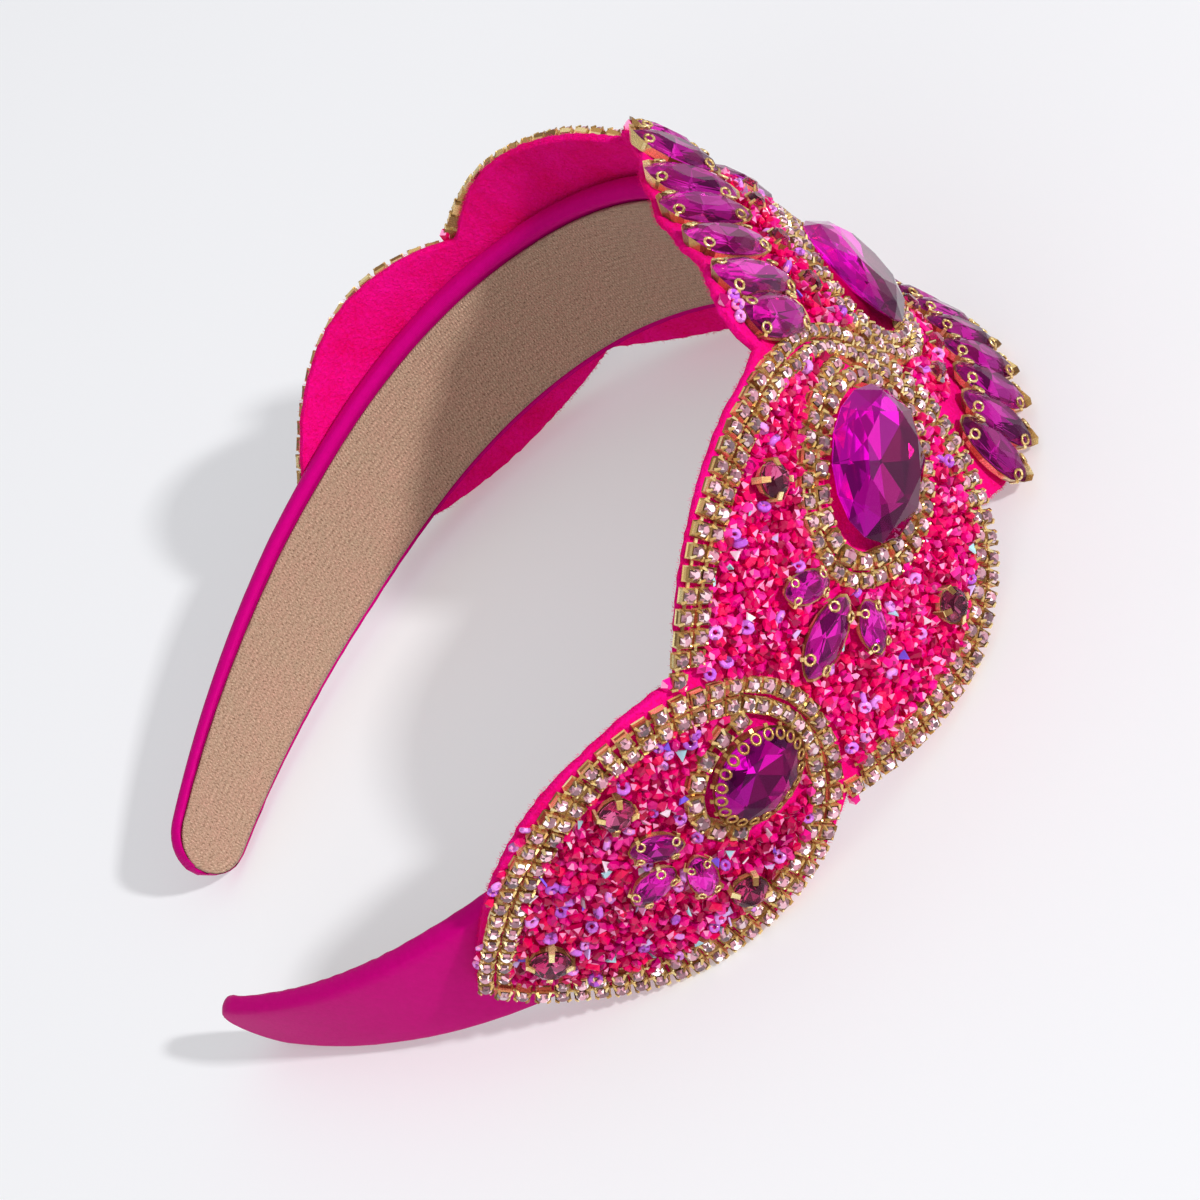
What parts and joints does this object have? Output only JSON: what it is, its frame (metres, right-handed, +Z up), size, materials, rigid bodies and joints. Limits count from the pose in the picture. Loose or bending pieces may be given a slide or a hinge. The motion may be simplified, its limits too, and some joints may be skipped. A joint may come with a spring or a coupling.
{
  "type": "rhinestone headband",
  "caption": "Padded satin headband with a scalloped felt backing on its crown, bordered in cup chain and covered in faceted stones and small beads.",
  "frame": {"origin": "middle of the footprint, on the surface that the headband lies on", "axes": "+Z up from the surface, +Y from the two tips towards the crown, +X towards the arm that is on the right when the tips point at the viewer"},
  "size_m": [0.1552, 0.1732, 0.0743],
  "materials": {
    "magenta_satin": "deep magenta satin, soft sheen, small puckers beside its edges",
    "tan_twill": "fine tan-brown twill lining, matt",
    "pink_felt": "fuzzy hot pink felt, matt",
    "pink_beads": "hot pink seed beads and chips with a few lilac ones, glossy",
    "rose_cup_chain": "gold-plated cups that hold pale rose stones",
    "fuchsia_stone": "foil-backed faceted stone, fuchsia to deep purple",
    "violet_stone": "pointed oval faceted stone, violet-magenta, in a gold claw setting",
    "mauve_stone": "round faceted stone, dusky mauve, in a gold claw setting"
  },
  "bodies": {
    "root": {"lining": "tan_twill", "band": "magenta_satin", "felt_backing": "pink_felt", "end_lobe_chain_outer_right": "rose_cup_chain", "end_lobe_chain_outer_left": "rose_cup_chain", "end_lobe_chain_inner_right": "rose_cup_chain", "end_lobe_chain_inner_left": "rose_cup_chain", "middle_lobe_chain_outer_right": "rose_cup_chain", "middle_lobe_chain_outer_left": "rose_cup_chain", "middle_lobe_chain_inner_right": "rose_cup_chain", "middle_lobe_chain_inner_left": "rose_cup_chain", "centre_ring_inner": "rose_cup_chain", "centre_ring_outer": "rose_cup_chain", "middle_ring_inner_right": "rose_cup_chain", "middle_ring_inner_left": "rose_cup_chain", "middle_ring_outer_right": "rose_cup_chain", "middle_ring_outer_left": "rose_cup_chain", "end_ring_right": "rose_cup_chain", "end_ring_left": "rose_cup_chain", "centre_oval": "fuchsia_stone", "middle_oval_right": "fuchsia_stone", "middle_oval_left": "fuchsia_stone", "end_oval_right": "fuchsia_stone", "end_oval_left": "fuchsia_stone", "fan_front_mid": "violet_stone", "fan_front_near_right": "violet_stone", "fan_front_near_left": "violet_stone", "fan_front_far_right": "violet_stone", "fan_front_far_left": "violet_stone", "fan_front_end_right": "violet_stone", "fan_front_end_left": "violet_stone", "fan_back_a_right": "violet_stone", "fan_back_a_left": "violet_stone", "fan_back_b_right": "violet_stone", "fan_back_b_left": "violet_stone", "fan_back_c_right": "violet_stone", "fan_back_c_left": "violet_stone", "fan_back_d_right": "violet_stone", "fan_back_d_left": "violet_stone", "chaton_end_front_right": "mauve_stone", "chaton_end_front_left": "mauve_stone", "chaton_end_back_right": "mauve_stone", "chaton_end_back_left": "mauve_stone", "chaton_end_tip_right": "mauve_stone", "chaton_end_tip_left": "mauve_stone", "chaton_middle_front_right": "mauve_stone", "chaton_middle_front_left": "mauve_stone", "chaton_middle_back_right": "mauve_stone", "chaton_middle_back_left": "mauve_stone", "middle_petals_right": "violet_stone", "middle_petals_left": "violet_stone", "end_petals_right": "violet_stone", "end_petals_left": "violet_stone", "end_lobe_beads_right": "pink_beads", "end_lobe_beads_left": "pink_beads", "middle_lobe_beads_right": "pink_beads", "middle_lobe_beads_left": "pink_beads", "centre_beads_front": "pink_beads", "centre_beads_back": "pink_beads"}
  },
  "joints": []
}
